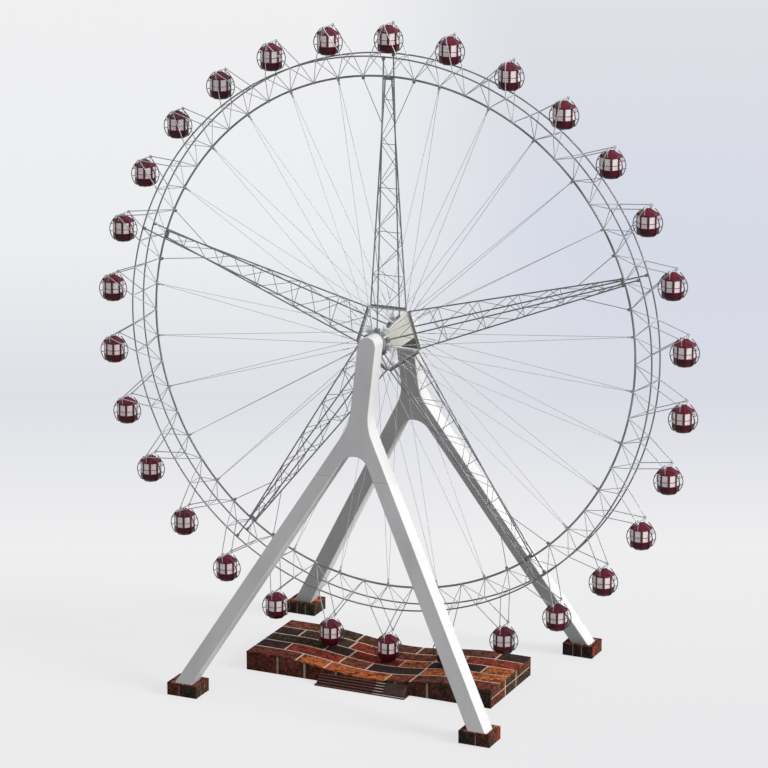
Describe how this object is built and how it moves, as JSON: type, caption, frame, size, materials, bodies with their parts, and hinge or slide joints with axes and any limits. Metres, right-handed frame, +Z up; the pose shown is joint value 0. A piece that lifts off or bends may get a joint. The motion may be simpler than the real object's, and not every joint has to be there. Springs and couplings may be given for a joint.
{
  "type": "ferris wheel, 1:2 scale model",
  "caption": "Ferris wheel with hanging dark red cabins on a lattice rim, held by leaning white wishbone masts on brick-clad feet, with a brick boarding platform.",
  "frame": {"origin": "on the ground, midway between the four feet and below the hub", "axes": "+Z up, +Y along the wheel's axle towards the rear mast, +X to the right as seen from the front"},
  "size_m": [27.722, 12.975, 28.9],
  "materials": {
    "white_steel": "satin",
    "grey_steel": "satin",
    "cable_steel": "satin",
    "cabin_red": "gloss",
    "brick": "matt"
  },
  "bodies": {
    "stand": {"front_mast": "white_steel", "front_left_leg": "white_steel", "front_right_leg": "white_steel", "rear_mast": "white_steel", "rear_left_leg": "white_steel", "rear_right_leg": "white_steel", "front_left_foot": "brick", "front_right_foot": "brick", "rear_left_foot": "brick", "rear_right_foot": "brick", "platform": "brick", "boarding_steps": "brick"},
    "wheel": {"hub": "white_steel", "spoke_truss_1": "grey_steel", "spoke_truss_2": "grey_steel", "spoke_truss_3": "grey_steel", "spoke_truss_4": "grey_steel", "spoke_truss_5": "grey_steel", "rim_segment_1": "grey_steel", "rim_segment_2": "grey_steel", "rim_segment_3": "grey_steel", "rim_segment_4": "grey_steel", "rim_segment_5": "grey_steel", "stay_cables_1": "cable_steel", "stay_cables_2": "cable_steel", "stay_cables_3": "cable_steel", "stay_cables_4": "cable_steel", "stay_cables_5": "cable_steel"},
    "cabin_01": {"cabin_01": "cabin_red"},
    "cabin_02": {"cabin_02": "cabin_red"},
    "cabin_03": {"cabin_03": "cabin_red"},
    "cabin_04": {"cabin_04": "cabin_red"},
    "cabin_05": {"cabin_05": "cabin_red"},
    "cabin_06": {"cabin_06": "cabin_red"},
    "cabin_07": {"cabin_07": "cabin_red"},
    "cabin_08": {"cabin_08": "cabin_red"},
    "cabin_09": {"cabin_09": "cabin_red"},
    "cabin_10": {"cabin_10": "cabin_red"},
    "cabin_11": {"cabin_11": "cabin_red"},
    "cabin_12": {"cabin_12": "cabin_red"},
    "cabin_13": {"cabin_13": "cabin_red"},
    "cabin_14": {"cabin_14": "cabin_red"},
    "cabin_15": {"cabin_15": "cabin_red"},
    "cabin_16": {"cabin_16": "cabin_red"},
    "cabin_17": {"cabin_17": "cabin_red"},
    "cabin_18": {"cabin_18": "cabin_red"},
    "cabin_19": {"cabin_19": "cabin_red"},
    "cabin_20": {"cabin_20": "cabin_red"},
    "cabin_21": {"cabin_21": "cabin_red"},
    "cabin_22": {"cabin_22": "cabin_red"},
    "cabin_23": {"cabin_23": "cabin_red"},
    "cabin_24": {"cabin_24": "cabin_red"},
    "cabin_25": {"cabin_25": "cabin_red"},
    "cabin_26": {"cabin_26": "cabin_red"},
    "cabin_27": {"cabin_27": "cabin_red"},
    "cabin_28": {"cabin_28": "cabin_red"},
    "cabin_29": {"cabin_29": "cabin_red"},
    "cabin_30": {"cabin_30": "cabin_red"}
  },
  "joints": [
    {"name": "wheel_spin", "type": "hinge", "parent": "stand", "child": "wheel", "pos_m": [0, 0, 15.32], "axis": [0, 1, 0], "continuous": true},
    {"name": "cabin_01_swing", "type": "hinge", "parent": "wheel", "child": "cabin_01", "pos_m": [0, 0, 28.82], "axis": [0, 1, 0], "continuous": true},
    {"name": "cabin_02_swing", "type": "hinge", "parent": "wheel", "child": "cabin_02", "pos_m": [2.80681, 0, 28.52499], "axis": [0, 1, 0], "continuous": true},
    {"name": "cabin_03_swing", "type": "hinge", "parent": "wheel", "child": "cabin_03", "pos_m": [5.49094, 0, 27.65286], "axis": [0, 1, 0], "continuous": true},
    {"name": "cabin_04_swing", "type": "hinge", "parent": "wheel", "child": "cabin_04", "pos_m": [7.9351, 0, 26.24173], "axis": [0, 1, 0], "continuous": true},
    {"name": "cabin_05_swing", "type": "hinge", "parent": "wheel", "child": "cabin_05", "pos_m": [10.03246, 0, 24.35326], "axis": [0, 1, 0], "continuous": true},
    {"name": "cabin_06_swing", "type": "hinge", "parent": "wheel", "child": "cabin_06", "pos_m": [11.69134, 0, 22.07], "axis": [0, 1, 0], "continuous": true},
    {"name": "cabin_07_swing", "type": "hinge", "parent": "wheel", "child": "cabin_07", "pos_m": [12.83926, 0, 19.49173], "axis": [0, 1, 0], "continuous": true},
    {"name": "cabin_08_swing", "type": "hinge", "parent": "wheel", "child": "cabin_08", "pos_m": [13.42605, 0, 16.73113], "axis": [0, 1, 0], "continuous": true},
    {"name": "cabin_09_swing", "type": "hinge", "parent": "wheel", "child": "cabin_09", "pos_m": [13.42605, 0, 13.90887], "axis": [0, 1, 0], "continuous": true},
    {"name": "cabin_10_swing", "type": "hinge", "parent": "wheel", "child": "cabin_10", "pos_m": [12.83926, 0, 11.14827], "axis": [0, 1, 0], "continuous": true},
    {"name": "cabin_11_swing", "type": "hinge", "parent": "wheel", "child": "cabin_11", "pos_m": [11.69134, 0, 8.57], "axis": [0, 1, 0], "continuous": true},
    {"name": "cabin_12_swing", "type": "hinge", "parent": "wheel", "child": "cabin_12", "pos_m": [10.03246, 0, 6.28674], "axis": [0, 1, 0], "continuous": true},
    {"name": "cabin_13_swing", "type": "hinge", "parent": "wheel", "child": "cabin_13", "pos_m": [7.9351, 0, 4.39827], "axis": [0, 1, 0], "continuous": true},
    {"name": "cabin_14_swing", "type": "hinge", "parent": "wheel", "child": "cabin_14", "pos_m": [5.49094, 0, 2.98714], "axis": [0, 1, 0], "continuous": true},
    {"name": "cabin_15_swing", "type": "hinge", "parent": "wheel", "child": "cabin_15", "pos_m": [2.80681, 0, 2.11501], "axis": [0, 1, 0], "continuous": true},
    {"name": "cabin_16_swing", "type": "hinge", "parent": "wheel", "child": "cabin_16", "pos_m": [0, 0, 1.82], "axis": [0, 1, 0], "continuous": true},
    {"name": "cabin_17_swing", "type": "hinge", "parent": "wheel", "child": "cabin_17", "pos_m": [-2.80681, 0, 2.11501], "axis": [0, 1, 0], "continuous": true},
    {"name": "cabin_18_swing", "type": "hinge", "parent": "wheel", "child": "cabin_18", "pos_m": [-5.49094, 0, 2.98714], "axis": [0, 1, 0], "continuous": true},
    {"name": "cabin_19_swing", "type": "hinge", "parent": "wheel", "child": "cabin_19", "pos_m": [-7.9351, 0, 4.39827], "axis": [0, 1, 0], "continuous": true},
    {"name": "cabin_20_swing", "type": "hinge", "parent": "wheel", "child": "cabin_20", "pos_m": [-10.03246, 0, 6.28674], "axis": [0, 1, 0], "continuous": true},
    {"name": "cabin_21_swing", "type": "hinge", "parent": "wheel", "child": "cabin_21", "pos_m": [-11.69134, 0, 8.57], "axis": [0, 1, 0], "continuous": true},
    {"name": "cabin_22_swing", "type": "hinge", "parent": "wheel", "child": "cabin_22", "pos_m": [-12.83926, 0, 11.14827], "axis": [0, 1, 0], "continuous": true},
    {"name": "cabin_23_swing", "type": "hinge", "parent": "wheel", "child": "cabin_23", "pos_m": [-13.42605, 0, 13.90887], "axis": [0, 1, 0], "continuous": true},
    {"name": "cabin_24_swing", "type": "hinge", "parent": "wheel", "child": "cabin_24", "pos_m": [-13.42605, 0, 16.73113], "axis": [0, 1, 0], "continuous": true},
    {"name": "cabin_25_swing", "type": "hinge", "parent": "wheel", "child": "cabin_25", "pos_m": [-12.83926, 0, 19.49173], "axis": [0, 1, 0], "continuous": true},
    {"name": "cabin_26_swing", "type": "hinge", "parent": "wheel", "child": "cabin_26", "pos_m": [-11.69134, 0, 22.07], "axis": [0, 1, 0], "continuous": true},
    {"name": "cabin_27_swing", "type": "hinge", "parent": "wheel", "child": "cabin_27", "pos_m": [-10.03246, 0, 24.35326], "axis": [0, 1, 0], "continuous": true},
    {"name": "cabin_28_swing", "type": "hinge", "parent": "wheel", "child": "cabin_28", "pos_m": [-7.9351, 0, 26.24173], "axis": [0, 1, 0], "continuous": true},
    {"name": "cabin_29_swing", "type": "hinge", "parent": "wheel", "child": "cabin_29", "pos_m": [-5.49094, 0, 27.65286], "axis": [0, 1, 0], "continuous": true},
    {"name": "cabin_30_swing", "type": "hinge", "parent": "wheel", "child": "cabin_30", "pos_m": [-2.80681, 0, 28.52499], "axis": [0, 1, 0], "continuous": true}
  ],
  "couplings": [
    {"joint": "cabin_01_swing", "follows": "wheel_spin", "ratio": -1},
    {"joint": "cabin_02_swing", "follows": "wheel_spin", "ratio": -1},
    {"joint": "cabin_03_swing", "follows": "wheel_spin", "ratio": -1},
    {"joint": "cabin_04_swing", "follows": "wheel_spin", "ratio": -1},
    {"joint": "cabin_05_swing", "follows": "wheel_spin", "ratio": -1},
    {"joint": "cabin_06_swing", "follows": "wheel_spin", "ratio": -1},
    {"joint": "cabin_07_swing", "follows": "wheel_spin", "ratio": -1},
    {"joint": "cabin_08_swing", "follows": "wheel_spin", "ratio": -1},
    {"joint": "cabin_09_swing", "follows": "wheel_spin", "ratio": -1},
    {"joint": "cabin_10_swing", "follows": "wheel_spin", "ratio": -1},
    {"joint": "cabin_11_swing", "follows": "wheel_spin", "ratio": -1},
    {"joint": "cabin_12_swing", "follows": "wheel_spin", "ratio": -1},
    {"joint": "cabin_13_swing", "follows": "wheel_spin", "ratio": -1},
    {"joint": "cabin_14_swing", "follows": "wheel_spin", "ratio": -1},
    {"joint": "cabin_15_swing", "follows": "wheel_spin", "ratio": -1},
    {"joint": "cabin_16_swing", "follows": "wheel_spin", "ratio": -1},
    {"joint": "cabin_17_swing", "follows": "wheel_spin", "ratio": -1},
    {"joint": "cabin_18_swing", "follows": "wheel_spin", "ratio": -1},
    {"joint": "cabin_19_swing", "follows": "wheel_spin", "ratio": -1},
    {"joint": "cabin_20_swing", "follows": "wheel_spin", "ratio": -1},
    {"joint": "cabin_21_swing", "follows": "wheel_spin", "ratio": -1},
    {"joint": "cabin_22_swing", "follows": "wheel_spin", "ratio": -1},
    {"joint": "cabin_23_swing", "follows": "wheel_spin", "ratio": -1},
    {"joint": "cabin_24_swing", "follows": "wheel_spin", "ratio": -1},
    {"joint": "cabin_25_swing", "follows": "wheel_spin", "ratio": -1},
    {"joint": "cabin_26_swing", "follows": "wheel_spin", "ratio": -1},
    {"joint": "cabin_27_swing", "follows": "wheel_spin", "ratio": -1},
    {"joint": "cabin_28_swing", "follows": "wheel_spin", "ratio": -1},
    {"joint": "cabin_29_swing", "follows": "wheel_spin", "ratio": -1},
    {"joint": "cabin_30_swing", "follows": "wheel_spin", "ratio": -1}
  ]
}
